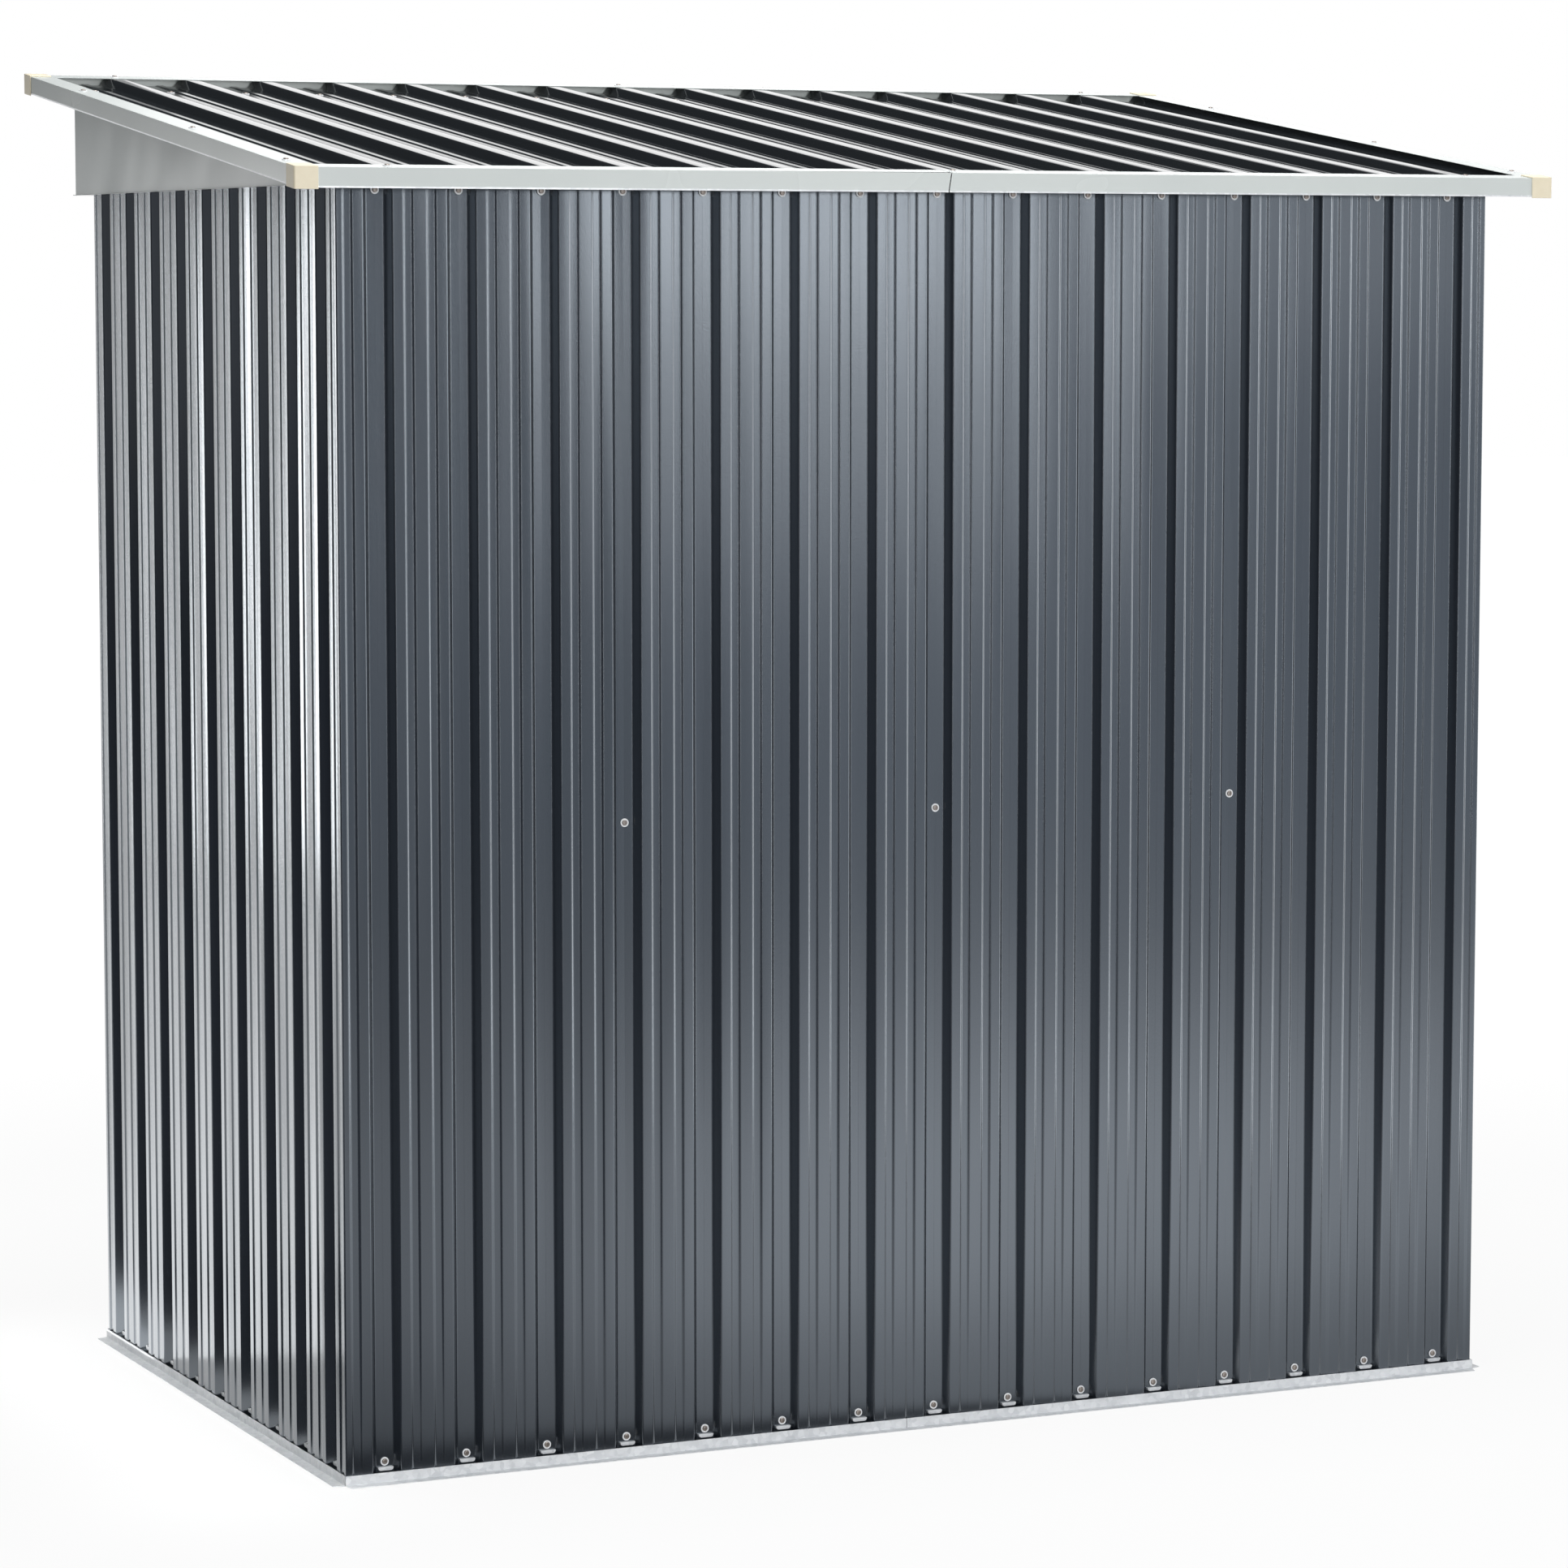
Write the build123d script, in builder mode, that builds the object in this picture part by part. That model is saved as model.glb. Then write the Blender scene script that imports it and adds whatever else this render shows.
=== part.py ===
import os
from math import atan2, cos, hypot, sin, tan

from build123d import *

# Rolled sheet: walls, doors and roof share one pitch and one profile
rib_pitch = 112.0
sheet = 0.6
rib_depth = 12.0
rib_width = 22.0
rib_run = 8.4
bead_spacing = 31.0
bead_width = 9.0
bead_run = 2.5
bead_depth = 1.6
lap_gap = 0.8

# Layout in whole ribs: each sheet covers four pitches, corner sheets fold round the corner
rear_pitches = 15
side_pitches = 9
sheet_pitches = 4
wall_height = 1655.0

# Base rails: folded steel with a foot flange outside and a leg inside the sheets
rail_gauge = 1.0
rail_foot = 15.0
rail_foot_cut = 5.0
rail_hem = 2.0
rail_hem_height = 13.0
rail_leg_height = 30.0
rail_clearance = 0.4
rail_joint = 0.6
rear_rail_splice = 46.0

# Inner rails, header and door frames
frame_gauge = 0.8
mid_rail_share = 0.502
mid_rail_web = 36.0
mid_rail_flange = 16.0
top_rail_web = 40.0
top_rail_flange = 28.0
rail_end = 32.0
header_height = 65.0
beam_web = 40.0
beam_flange = 26.0

# Doorway: a pair of sliding leaves behind the front sheets
jamb_lip = 8.0
slide_clearance = 2.5
leaf_depth = 20.0
leaf_overlap = 14.0
leaf_gap = 0.5
leaf_head_overlap = 22.0
stile = 28.0
leaf_rail = 32.0
leaf_setback = 2.0
leaf_lip = 8.0
leaf_fit = 0.3
leaf_ribs = 3
track_leg = 24.0
track_headroom = 3.0
handle_height = 860.0
handle_length = 150.0
handle_width = 16.0
handle_reach = 24.0
handle_bar = 8.0
handle_foot = 22.0
handle_round = 3.0

# Roof: one slope that falls to the rear, with an L trim on each edge
roof_rise = 152.0
roof_seat_gap = 5.2
side_overhang = 71.0
rear_overhang = 52.0
front_overhang = 90.0
trim_gauge = 0.8
trim_face = 25.4
trim_flange = 34.0
trim_clearance = 3.0
trim_splice = 10.0
trim_splice_slant = 4.0
trim_joint = 0.4
cap_wall = 1.6
cap_side = 32.0
cap_end = 30.0
cap_skirt = 1.6
cap_round = 2.5

# Gable panels and the front fascia close the wedge between walls and roof
gable_cover = 7.0
fascia_setback = 7.0
gable_lip = 5.0
gable_flange = 24.0
fascia_flange = 22.0
fascia_fit = 2.0

# Sizes that follow from the ones above
width = rear_pitches * rib_pitch
depth = side_pitches * rib_pitch
wall_middle = (front_overhang - rear_overhang) / 2
rear_face = wall_middle + depth / 2
front_face = wall_middle - depth / 2
half_width = width / 2
roof_half = half_width + side_overhang
roof_rear = rear_face + rear_overhang
roof_front = front_face - front_overhang
slope = atan2(roof_rise, roof_rear - roof_front)
roof_stack = rib_depth + sheet + trim_gauge
rear_edge_height = wall_height + roof_seat_gap + roof_stack / cos(slope) - rear_overhang * tan(slope)
front_edge_height = rear_edge_height + roof_rise
gable_bottom = wall_height - gable_cover
mid_rail_height = wall_height * mid_rail_share
frame_depth = rib_depth + sheet
valley_half = rib_width / 2
leaf_front = frame_depth + frame_gauge + slide_clearance
leaf_back = leaf_front + leaf_depth
first_lap = sheet_pitches - 1
middle_lap = first_lap + sheet_pitches
last_lap = middle_lap + sheet_pitches
last_side = side_pitches - 1
door_half = half_width - (first_lap + 1 / 2) * rib_pitch
header_bottom = wall_height - header_height
leaf_top = header_bottom + leaf_head_overlap

os.makedirs("parts", exist_ok=True)


def save(builder, label):
    builder.part.label = label
    export_step(builder.part, f"parts/{label}.step")


def roof_under(y):
    # height of the underside of the roof pans over a place in the plan
    return rear_edge_height + (roof_rear - y) * tan(slope) - roof_stack / cos(slope)


def edge_height(y):
    # height of the top of the trims over a place in the plan
    return rear_edge_height + (roof_rear - y) * tan(slope)


# The profile is a list of stations along a wall and depths behind its outer face
def bead(middle):
    flat = bead_width / 2
    foot = flat + bead_run
    return [(middle - foot, 0), (middle - flat, bead_depth),
            (middle + flat, bead_depth), (middle + foot, 0)]


def pan(index):
    middle = index * rib_pitch
    return bead(middle - bead_spacing / 2) + bead(middle + bead_spacing / 2)


def rib(index):
    middle = (index + 1 / 2) * rib_pitch
    brow = valley_half + rib_run
    return [(middle - brow, 0), (middle - valley_half, rib_depth),
            (middle + valley_half, rib_depth), (middle + brow, 0)]


def lap_start(index, lap_depth):
    middle = (index + 1 / 2) * rib_pitch
    return [(middle - valley_half + lap_gap, lap_depth), (middle + valley_half, lap_depth),
            (middle + valley_half + rib_run, 0)]


def lap_stop(index, lap_depth):
    middle = (index + 1 / 2) * rib_pitch
    return [(middle - valley_half - rib_run, 0), (middle - valley_half, lap_depth),
            (middle + valley_half - lap_gap, lap_depth)]


def ribs_between(first, last):
    # pans and ribs that follow rib "first", up to the pan before rib "last"
    stations = []
    for index in range(first + 1, last + 1):
        stations += pan(index)
        if index < last:
            stations += rib(index)
    return stations


def straight_sheet(first, last, start_depth, stop_depth):
    return lap_start(first, start_depth) + ribs_between(first, last) + lap_stop(last, stop_depth)


def to_corner(first, pitches, start_depth):
    # from a lap to the pan that folds round the corner at the end of a wall
    stations = lap_start(first, start_depth)
    for index in range(first + 1, pitches):
        stations += pan(index) + rib(index)
    return stations + bead(pitches * rib_pitch - bead_spacing / 2) + [(pitches * rib_pitch, 0)]


def from_corner(last, stop_depth):
    stations = bead(bead_spacing / 2)
    for index in range(0, last):
        stations += rib(index) + pan(index + 1)
    return stations + lap_stop(last, stop_depth)


# Each wall runs counter-clockwise seen from above, with the outside on its right
def rear_wall(stations):
    return [(half_width - s, rear_face - d) for s, d in stations]


def left_wall(stations):
    return [(d - half_width, rear_face - s) for s, d in stations]


def front_wall(stations):
    return [(s - half_width, front_face + d) for s, d in stations]


def right_wall(stations):
    return [(half_width - d, front_face + s) for s, d in stations]


def folded(path, gauge):
    # closed outline of a sheet of even gauge laid on the left of a folded line
    inner = []
    for index, (x, y) in enumerate(path):
        normals = []
        for start, stop in ((index - 1, index), (index, index + 1)):
            if start >= 0 and stop < len(path):
                run, rise = path[stop][0] - path[start][0], path[stop][1] - path[start][1]
                length = hypot(run, rise)
                normals.append((-rise / length, run / length))
        first, last = normals[0], normals[-1]
        mitre = gauge / (1 + first[0] * last[0] + first[1] * last[1])
        inner.append((x + mitre * (first[0] + last[0]), y + mitre * (first[1] + last[1])))
    return path + inner[::-1]


# Wall sheets stand on the rail seats; the later sheet of each lap lies outside the earlier one
over = rib_depth - sheet
under = rib_depth
wall_sheets = {
    "rear_right_corner_sheet": right_wall(to_corner(last_side, side_pitches, over))
    + rear_wall(from_corner(first_lap, under)),
    "rear_sheet_right": rear_wall(straight_sheet(first_lap, middle_lap, over, under)),
    "rear_sheet_left": rear_wall(straight_sheet(middle_lap, last_lap, over, under)),
    "rear_left_corner_sheet": rear_wall(to_corner(last_lap, rear_pitches, over))
    + left_wall(from_corner(0, under)),
    "left_sheet_rear": left_wall(straight_sheet(0, sheet_pitches, over, under)),
    "left_sheet_front": left_wall(straight_sheet(sheet_pitches, last_side, over, under)),
    "front_left_corner_sheet": left_wall(to_corner(last_side, side_pitches, over))
    + front_wall(from_corner(first_lap, under)),
    "front_right_corner_sheet": front_wall(to_corner(last_lap, rear_pitches, under))
    + right_wall(from_corner(0, under)),
    "right_sheet_front": right_wall(straight_sheet(0, sheet_pitches, over, under)),
    "right_sheet_rear": right_wall(straight_sheet(sheet_pitches, last_side, over, under)),
}
for label, path in wall_sheets.items():
    with BuildPart() as wall_sheet:
        with BuildSketch(Plane.XY.offset(rail_gauge)):
            with BuildLine():
                Polyline(*folded(path, sheet), close=True)
            make_face()
        extrude(amount=wall_height - rail_gauge)
    save(wall_sheet, label)


# Base rails: the foot flange is cut back at the corners, the seat and legs are mitred there
hem_inner = rail_clearance
hem_outer = rail_clearance + rail_hem
foot_outer = hem_outer + rail_foot
rear_leg = frame_depth
front_leg = leaf_back + slide_clearance


def rail_plan(start, stop, leg, start_corner, stop_corner):
    # plan strips of one rail as (along, out) points: the flat on the ground, the hem and the inner leg
    def along(out, corner, end, sign):
        if not corner:
            return end
        reach = out if out <= hem_outer else hem_outer - rail_foot_cut
        return end + sign * (reach - rail_joint)

    def strip(outs):
        near = [(along(out, start_corner, start, -1), out) for out in outs]
        far = [(along(out, stop_corner, stop, 1), out) for out in outs]
        return near + far[::-1]

    leg_back = -leg - rail_gauge
    return strip([leg_back, hem_outer, foot_outer]), strip([hem_inner, hem_outer]), strip([leg_back, -leg])


def rail_on_rear(points):
    return [(half_width - s, rear_face + out) for s, out in points]


def rail_on_left(points):
    return [(-half_width - out, rear_face - s) for s, out in points]


def rail_on_front(points):
    return [(s - half_width, front_face - out) for s, out in points]


def rail_on_right(points):
    return [(half_width + out, front_face + s) for s, out in points]


splice_at = half_width - rear_rail_splice
base_rails = {
    "base_rail_rear_right": (rail_on_rear, rail_plan(0, splice_at - rail_joint, rear_leg, True, False)),
    "base_rail_rear_left": (rail_on_rear, rail_plan(splice_at, width, rear_leg, False, True)),
    "base_rail_left": (rail_on_left, rail_plan(0, depth, rear_leg, True, True)),
    "base_rail_right": (rail_on_right, rail_plan(0, depth, rear_leg, True, True)),
    "base_rail_front": (rail_on_front, rail_plan(0, width, front_leg, True, True)),
}
for label, (place, (flat, hem, leg)) in base_rails.items():
    with BuildPart() as base_rail:
        with BuildSketch(Plane.XY):
            with BuildLine():
                Polyline(*place(flat), close=True)
            make_face()
        extrude(amount=rail_gauge)
        with BuildSketch(Plane.XY):
            with BuildLine():
                Polyline(*place(hem), close=True)
            make_face()
        extrude(amount=rail_hem_height)
        with BuildSketch(Plane.XY):
            with BuildLine():
                Polyline(*place(leg), close=True)
            make_face()
        extrude(amount=rail_leg_height)
    save(base_rail, label)


# Mid rails: channels screwed to the back of every rib at half height
def channel(low, web, flange, gauge):
    # section as (depth, height), with its web on the ribs and its flanges turned inward
    path = [(flange, low), (0, low), (0, low + web), (flange, low + web)]
    return [(frame_depth + d, z) for d, z in folded(path[::-1], gauge)]


mid_section = channel(mid_rail_height - mid_rail_web / 2, mid_rail_web, mid_rail_flange, frame_gauge)
with BuildPart() as rear_mid_rail:
    with BuildSketch(Plane.YZ.offset(rail_end - half_width)):
        with BuildLine():
            Polyline(*[(rear_face - d, z) for d, z in mid_section], close=True)
        make_face()
    extrude(amount=width - 2 * rail_end)
save(rear_mid_rail, "rear_mid_rail")

for label, side in (("right_mid_rail", 1), ("left_mid_rail", -1)):
    with BuildPart() as side_mid_rail:
        with BuildSketch(Plane.XZ.offset(rail_end - rear_face)):
            with BuildLine():
                Polyline(*[(side * (half_width - d), z) for d, z in mid_section], close=True)
            make_face()
        extrude(amount=depth - 2 * rail_end)
    save(side_mid_rail, label)


# Top rails: the rear one is bent to the roof slope, the side ones are square angles
rear_web_face = rear_face - frame_depth
rear_rail_top = [
    (rear_web_face, wall_height - top_rail_web),
    (rear_web_face, roof_under(rear_web_face)),
    (rear_web_face - top_rail_flange, roof_under(rear_web_face - top_rail_flange)),
]
with BuildPart() as rear_top_rail:
    with BuildSketch(Plane.YZ.offset(rail_end - half_width)):
        with BuildLine():
            Polyline(*folded(rear_rail_top, frame_gauge), close=True)
        make_face()
    extrude(amount=width - 2 * rail_end)
save(rear_top_rail, "rear_top_rail")

angle_path = [
    (frame_depth, wall_height - top_rail_web),
    (frame_depth, wall_height),
    (frame_depth + top_rail_flange, wall_height),
]
angle_section = folded(angle_path[::-1], frame_gauge)
for label, side in (("right_top_rail", 1), ("left_top_rail", -1)):
    with BuildPart() as side_top_rail:
        with BuildSketch(Plane.XZ.offset(rail_end - rear_face + top_rail_flange)):
            with BuildLine():
                Polyline(*[(side * (half_width - d), z) for d, z in angle_section], close=True)
            make_face()
        extrude(amount=depth - 2 * (rail_end + top_rail_flange))
    save(side_top_rail, label)

# Front header: an angle behind the front sheets, over the doorway
header_path = [
    (frame_depth, header_bottom),
    (frame_depth, wall_height),
    (frame_depth + beam_flange, wall_height),
]
with BuildPart() as front_header:
    with BuildSketch(Plane.YZ.offset(rail_end - half_width)):
        with BuildLine():
            Polyline(*[(front_face + d, z) for d, z in folded(header_path[::-1], frame_gauge)], close=True)
        make_face()
    extrude(amount=width - 2 * rail_end)
save(front_header, "front_header")

# Roof beam: a channel under the pans at half depth, with its flanges on the slope
beam_rear = wall_middle + beam_flange / 2
beam_front = wall_middle - beam_flange / 2
beam_path = [
    (beam_front, roof_under(beam_front)),
    (beam_rear, roof_under(beam_rear)),
    (beam_rear, roof_under(beam_rear) - beam_web),
    (beam_front, roof_under(beam_front) - beam_web),
]
with BuildPart() as roof_beam:
    with BuildSketch(Plane.YZ.offset(rail_end - half_width)):
        with BuildLine():
            Polyline(*folded(beam_path[::-1], frame_gauge), close=True)
        make_face()
    extrude(amount=width - 2 * rail_end)
save(roof_beam, "roof_beam")


# Gable panels: a flat sheet on the wall crests, a lip below and a flange under the roof
gable_front = roof_front + fascia_setback
gable_sheet = [
    (gable_front, gable_bottom),
    (rear_face, gable_bottom),
    (rear_face, roof_under(rear_face)),
    (gable_front, roof_under(gable_front)),
]
gable_top = [
    (gable_front, roof_under(gable_front)),
    (rear_face, roof_under(rear_face)),
    (rear_face, roof_under(rear_face) - frame_gauge),
    (gable_front, roof_under(gable_front) - frame_gauge),
]
for label, side in (("gable_panel_right", 1), ("gable_panel_left", -1)):
    with BuildPart() as gable_panel:
        with BuildSketch(Plane.YZ.offset(side * half_width)):
            with BuildLine():
                Polyline(*gable_sheet, close=True)
            make_face()
        extrude(amount=side * frame_gauge)
        with BuildSketch(Plane.YZ.offset(side * (half_width - gable_flange))):
            with BuildLine():
                Polyline(*gable_top, close=True)
            make_face()
        extrude(amount=side * gable_flange)
        with BuildSketch(Plane.XY.offset(gable_bottom)):
            with BuildLine():
                Polyline(
                    (side * half_width, gable_front),
                    (side * (half_width + gable_lip), gable_front),
                    (side * (half_width + gable_lip), rear_face),
                    (side * half_width, rear_face),
                    close=True,
                )
            make_face()
        extrude(amount=frame_gauge)
    save(gable_panel, label)

# Front fascia: the soffit, the face and the flange under the roof are one folded sheet
fascia_top = roof_under(gable_front)
fascia_path = [
    (gable_front + fascia_flange, roof_under(gable_front + fascia_flange)),
    (gable_front, fascia_top),
    (gable_front, gable_bottom),
    (front_face, gable_bottom),
]
fascia_ends = [(gable_front, fascia_top - frame_gauge - fascia_fit)] + fascia_path[2:]
fascia_half = half_width - gable_flange - fascia_fit
with BuildPart() as front_fascia:
    with BuildSketch(Plane.YZ.offset(-half_width)):
        with BuildLine():
            Polyline(*folded(fascia_ends, frame_gauge), close=True)
        make_face()
    extrude(amount=width)
    with BuildSketch(Plane.YZ.offset(-fascia_half)):
        with BuildLine():
            Polyline(*folded(fascia_path, frame_gauge), close=True)
        make_face()
    extrude(amount=2 * fascia_half)
save(front_fascia, "front_fascia")

# Door jambs: a channel that closes the free edge of each front sheet
jamb_edge = door_half - valley_half
jamb_path = [
    (jamb_edge + jamb_lip, 0),
    (jamb_edge - frame_gauge, 0),
    (jamb_edge - frame_gauge, frame_depth + frame_gauge),
    (jamb_edge + rib_width, frame_depth + frame_gauge),
]
for label, side in (("door_jamb_right", 1), ("door_jamb_left", -1)):
    with BuildPart() as door_jamb:
        with BuildSketch(Plane.XY.offset(rail_gauge)):
            with BuildLine():
                outline = folded(jamb_path[::-1], frame_gauge)
                Polyline(*[(side * x, front_face + d) for x, d in outline], close=True)
            make_face()
        extrude(amount=header_bottom - rail_gauge)
    save(door_jamb, label)

# Door track: an inverted channel over the heads of both leaves
track_path = [
    (frame_depth + frame_gauge, leaf_top + track_headroom + frame_gauge - track_leg),
    (frame_depth + frame_gauge, leaf_top + track_headroom + frame_gauge),
    (leaf_back + slide_clearance, leaf_top + track_headroom + frame_gauge),
    (leaf_back + slide_clearance, leaf_top + track_headroom + frame_gauge - track_leg),
]
with BuildPart() as door_track:
    with BuildSketch(Plane.YZ.offset(rail_end - half_width)):
        with BuildLine():
            Polyline(*[(front_face + d, z) for d, z in folded(track_path[::-1], frame_gauge)], close=True)
        make_face()
    extrude(amount=width - 2 * rail_end)
save(door_track, "door_track")

# Door leaves: a frame with lips, and a ribbed sheet seated on the lips
leaf_inner = leaf_gap
leaf_outer = door_half + leaf_overlap
leaf_middle = (leaf_inner + leaf_outer) / 2
leaf_width = leaf_outer - leaf_inner
leaf_height = leaf_top - rail_gauge
panel_half = leaf_width / 2 - stile - leaf_fit
panel_low = rail_gauge + leaf_rail + leaf_fit
panel_high = leaf_top - leaf_rail - leaf_fit
panel_face = leaf_front + leaf_setback
leaf_plane = Plane.XZ.offset(-front_face - leaf_front)
side_lip_depth = leaf_setback + sheet
end_lip_depth = leaf_setback + frame_depth
leaf_shift = leaf_ribs * rib_pitch / 2
panel_stations = [(leaf_shift - panel_half, 0)]
for index in range(0, leaf_ribs):
    panel_stations += pan(index) + rib(index)
panel_stations += pan(leaf_ribs) + [(leaf_shift + panel_half, 0)]

for hand, side in (("right", 1), ("left", -1)):
    middle = side * leaf_middle
    leaf_centre = rail_gauge + leaf_height / 2
    with BuildPart() as leaf_frame:
        with BuildSketch(leaf_plane):
            with Locations((middle, leaf_centre)):
                Rectangle(leaf_width, leaf_height)
                Rectangle(leaf_width - 2 * stile, leaf_height - 2 * leaf_rail, mode=Mode.SUBTRACT)
        extrude(amount=-leaf_depth)
        with BuildSketch(leaf_plane.offset(-side_lip_depth)):
            with Locations((middle, leaf_centre)):
                Rectangle(leaf_width - 2 * stile, leaf_height - 2 * leaf_rail)
                Rectangle(leaf_width - 2 * (stile + leaf_lip), leaf_height, mode=Mode.SUBTRACT)
        extrude(amount=-frame_gauge)
        with BuildSketch(leaf_plane.offset(-end_lip_depth)):
            with Locations((middle, leaf_centre)):
                Rectangle(leaf_width - 2 * stile, leaf_height - 2 * leaf_rail)
                Rectangle(leaf_width, leaf_height - 2 * (leaf_rail + leaf_lip), mode=Mode.SUBTRACT)
        extrude(amount=-frame_gauge)
    save(leaf_frame, f"door_{hand}_frame")

    panel_path = [(middle + s - leaf_shift, front_face + panel_face + d) for s, d in panel_stations]
    with BuildPart() as leaf_sheet:
        with BuildSketch(Plane.XY.offset(panel_low)):
            with BuildLine():
                Polyline(*folded(panel_path, sheet), close=True)
            make_face()
        extrude(amount=panel_high - panel_low)
    save(leaf_sheet, f"door_{hand}_sheet")

# Door handles: a moulded pull on each meeting stile
handle_back = front_face + leaf_front
handle_low = handle_height - handle_length / 2
with BuildPart() as door_handles:
    for side in (1, -1):
        with BuildSketch(Plane.YZ.offset(side * (leaf_gap + stile / 2) - handle_width / 2)):
            with Locations((handle_back - handle_reach / 2, handle_height)):
                Rectangle(handle_reach, handle_length)
            with Locations((handle_back - (handle_reach - handle_bar) / 2, handle_height)):
                Rectangle(handle_reach - handle_bar, handle_length - 2 * handle_foot, mode=Mode.SUBTRACT)
        extrude(amount=handle_width)
    handle_edges = door_handles.edges().filter_by(Axis.X).group_by(Axis.Y)[0]
    fillet(handle_edges, radius=handle_round)
save(door_handles, "door_handles")


# Roof sheets: the same rolled profile turned over, with its ribs upward and laid down the slope
up_slope = (0, -cos(slope), sin(slope))
roof_low = roof_rear - trim_gauge - trim_clearance
roof_high = roof_front + trim_gauge + trim_clearance + roof_stack * sin(slope)
roof_section = Plane(origin=(0, roof_low, roof_under(roof_low)), x_dir=(1, 0, 0), z_dir=up_slope)
roof_ribs = rear_pitches + 1
roof_shift = (roof_ribs + 1) * rib_pitch / 2
for index in range(0, roof_ribs // sheet_pitches):
    first, last = index * sheet_pitches, (index + 1) * sheet_pitches
    stop_depth = rib_depth if last == roof_ribs else rib_depth - sheet
    stations = straight_sheet(first, last, rib_depth, stop_depth)
    with BuildPart() as roof_sheet:
        with BuildSketch(roof_section):
            with BuildLine():
                Polyline(*folded([(s - roof_shift, d) for s, d in stations], sheet), close=True)
            make_face()
        extrude(amount=(roof_low - roof_high) / cos(slope))
    save(roof_sheet, f"roof_sheet_{index + 1}")


# Roof trims: a vertical face, and a flange that lies on the rib crests and is mitred at the corners
roof_top = Plane(
    origin=(0, roof_rear, rear_edge_height), x_dir=(1, 0, 0), z_dir=(0, sin(slope), cos(slope))
)
slope_length = (roof_rear - roof_front) / cos(slope)
mitre = trim_flange
mitre_gap = trim_gauge + trim_joint
joint = trim_joint / 2
splice_low = trim_splice - trim_splice_slant
rear_trims = {
    "roof_trim_rear_right": (roof_half - trim_gauge, trim_splice + joint, splice_low + joint, 1),
    "roof_trim_rear_left": (trim_gauge - roof_half, trim_splice - joint, splice_low - joint, -1),
}
for label, (outer, high, low, side) in rear_trims.items():
    with BuildPart() as rear_trim:
        with BuildSketch(Plane.XZ.offset(-roof_rear)):
            with BuildLine():
                Polyline(
                    (high, rear_edge_height),
                    (outer, rear_edge_height),
                    (outer, rear_edge_height - trim_face),
                    (low, rear_edge_height - trim_face),
                    close=True,
                )
            make_face()
        extrude(amount=trim_gauge)
        with BuildSketch(roof_top):
            with BuildLine():
                Polyline(
                    (high, 0),
                    (outer, 0),
                    (outer - side * mitre, -mitre),
                    (high, -mitre),
                    close=True,
                )
            make_face()
        extrude(amount=-trim_gauge)
    save(rear_trim, label)

trim_outer = roof_half - trim_gauge
flange_front = trim_gauge / 2 - slope_length
with BuildPart() as roof_trim_front:
    with BuildSketch(Plane.YZ.offset(-trim_outer)):
        with BuildLine():
            Polyline(
                (roof_front, front_edge_height),
                (roof_front + trim_gauge, edge_height(roof_front + trim_gauge)),
                (roof_front + trim_gauge, front_edge_height - trim_face),
                (roof_front, front_edge_height - trim_face),
                close=True,
            )
        make_face()
    extrude(amount=2 * trim_outer)
    with BuildSketch(roof_top):
        with BuildLine():
            Polyline(
                (-trim_outer, flange_front),
                (trim_outer, flange_front),
                (trim_outer - mitre, mitre - slope_length),
                (mitre - trim_outer, mitre - slope_length),
                close=True,
            )
        make_face()
    extrude(amount=-trim_gauge)
save(roof_trim_front, "roof_trim_front")

for label, side in (("roof_trim_right", 1), ("roof_trim_left", -1)):
    with BuildPart() as side_trim:
        with BuildSketch(Plane.YZ.offset(side * roof_half)):
            with BuildLine():
                Polyline(
                    (roof_rear, rear_edge_height),
                    (roof_front, front_edge_height),
                    (roof_front, front_edge_height - trim_face),
                    (roof_rear, rear_edge_height - trim_face),
                    close=True,
                )
            make_face()
        extrude(amount=-side * trim_gauge)
        with BuildSketch(roof_top):
            with BuildLine():
                Polyline(
                    (side * trim_outer, -mitre_gap),
                    (side * (trim_outer - mitre), -mitre - mitre_gap),
                    (side * (trim_outer - mitre), mitre + mitre_gap - slope_length),
                    (side * trim_outer, mitre_gap - slope_length),
                    close=True,
                )
            make_face()
        extrude(amount=-trim_gauge)
    save(side_trim, label)

# Corner caps: moulded shells over the four corners of the trims
cap_outer = roof_half + cap_wall
cap_rise = cap_wall / cos(slope)
with BuildPart() as roof_corner_caps:
    for end, way in ((roof_rear, 1), (roof_front, -1)):
        tip, heel = end + way * cap_wall, end - way * (cap_end - cap_wall)
        shell = [
            (tip, edge_height(tip) + cap_rise),
            (heel, edge_height(heel) + cap_rise),
            (heel, edge_height(heel) - trim_face - cap_skirt),
            (tip, edge_height(tip) - trim_face - cap_skirt),
        ]
        for side in (1, -1):
            with BuildSketch(Plane.YZ.offset(side * cap_outer)):
                with BuildLine():
                    Polyline(*shell, close=True)
                make_face()
            extrude(amount=-side * cap_side)
    corner_edges = roof_corner_caps.edges().filter_by(Axis.Z)
    outer_edges = [edge for edge in corner_edges if abs(edge.center().X) > roof_half]
    tip_edges = [e for e in outer_edges if not roof_front < e.center().Y < roof_rear]
    fillet(tip_edges, radius=cap_round)
    for end, way in ((roof_rear, 1), (roof_front, -1)):
        heel = end - way * cap_end
        hollow = [
            (end, edge_height(end)),
            (heel, edge_height(heel)),
            (heel, edge_height(heel) - 2 * trim_face),
            (end, edge_height(end) - 2 * trim_face),
        ]
        for side in (1, -1):
            with BuildSketch(Plane.YZ.offset(side * roof_half)):
                with BuildLine():
                    Polyline(*hollow, close=True)
                make_face()
            extrude(amount=-side * cap_side, mode=Mode.SUBTRACT)
save(roof_corner_caps, "roof_corner_caps")
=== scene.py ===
import math
import bmesh
import bpy
from mathutils import Matrix, Vector


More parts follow.
